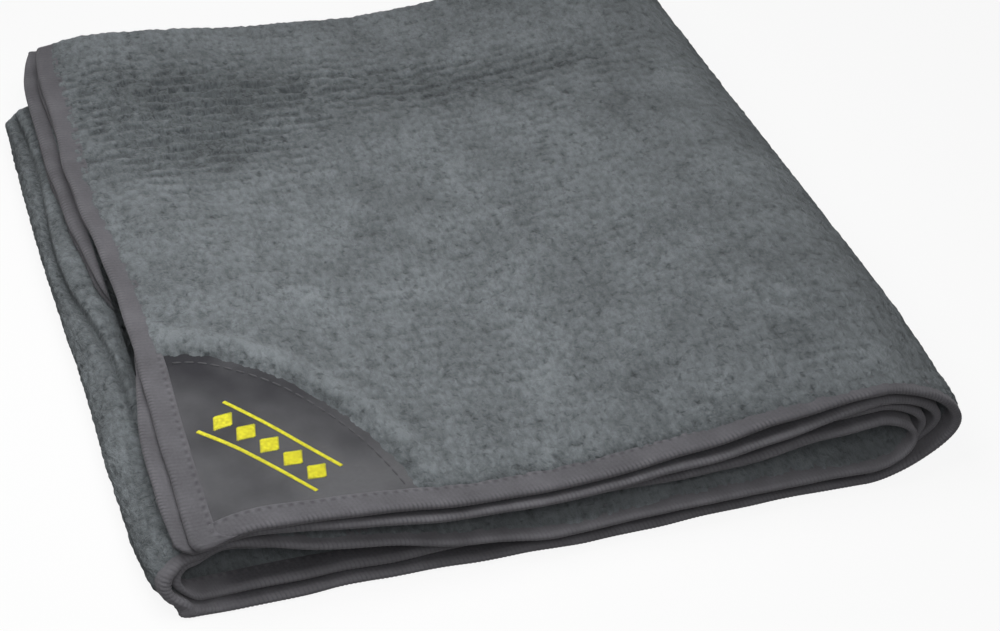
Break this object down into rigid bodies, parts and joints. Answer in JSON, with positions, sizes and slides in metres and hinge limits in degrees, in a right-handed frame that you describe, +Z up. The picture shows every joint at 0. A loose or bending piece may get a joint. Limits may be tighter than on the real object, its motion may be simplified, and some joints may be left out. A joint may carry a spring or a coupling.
{
  "type": "folded gym towel",
  "caption": "Microfibre terry gym towel folded into a flat pad, with overlocked edges and a smooth corner patch; its upper half swings open at the right-hand fold.",
  "frame": {"origin": "middle of the folded towel's outline, on the surface that it lies on", "axes": "+X towards the right fold that opens, +Y towards the back fold, +Z up through the plies"},
  "size_m": [0.205, 0.2, 0.0309],
  "materials": {
    "terry": "blue-grey microfibre loop pile",
    "edging_thread": "fine overlock stitches in purplish grey thread",
    "patch_cloth": "smooth dark grey woven cloth",
    "seam_thread": "dark grey sewing thread",
    "embroidery_thread": "yellow satin-stitch embroidery"
  },
  "bodies": {
    "lower": {"bottom_panel": "terry", "middle_panel": "terry", "left_fold": "terry", "outer_edging_lower": "edging_thread", "inner_edging_lower": "edging_thread", "right_fold_outer": "terry", "right_fold_inner": "terry", "outer_edging_fold": "edging_thread", "inner_edging_fold": "edging_thread"},
    "upper": {"tucked_panel": "terry", "top_panel": "terry", "outer_edging_tucked": "edging_thread", "inner_edging_tucked": "edging_thread", "outer_edging_top": "edging_thread", "inner_edging_top": "edging_thread", "end_edging_tucked": "edging_thread", "end_edging_top": "edging_thread", "corner_patch": "patch_cloth", "patch_seam": "seam_thread", "patch_motif": "embroidery_thread"}
  },
  "joints": [
    {"name": "right_fold_open", "type": "hinge", "parent": "lower", "child": "upper", "pos_m": [0.09615, 0, 0.0157], "axis": [0, 1, 0], "range_deg": [0, 180], "deforming": ["right_fold_outer", "right_fold_inner", "outer_edging_fold", "inner_edging_fold"]}
  ]
}
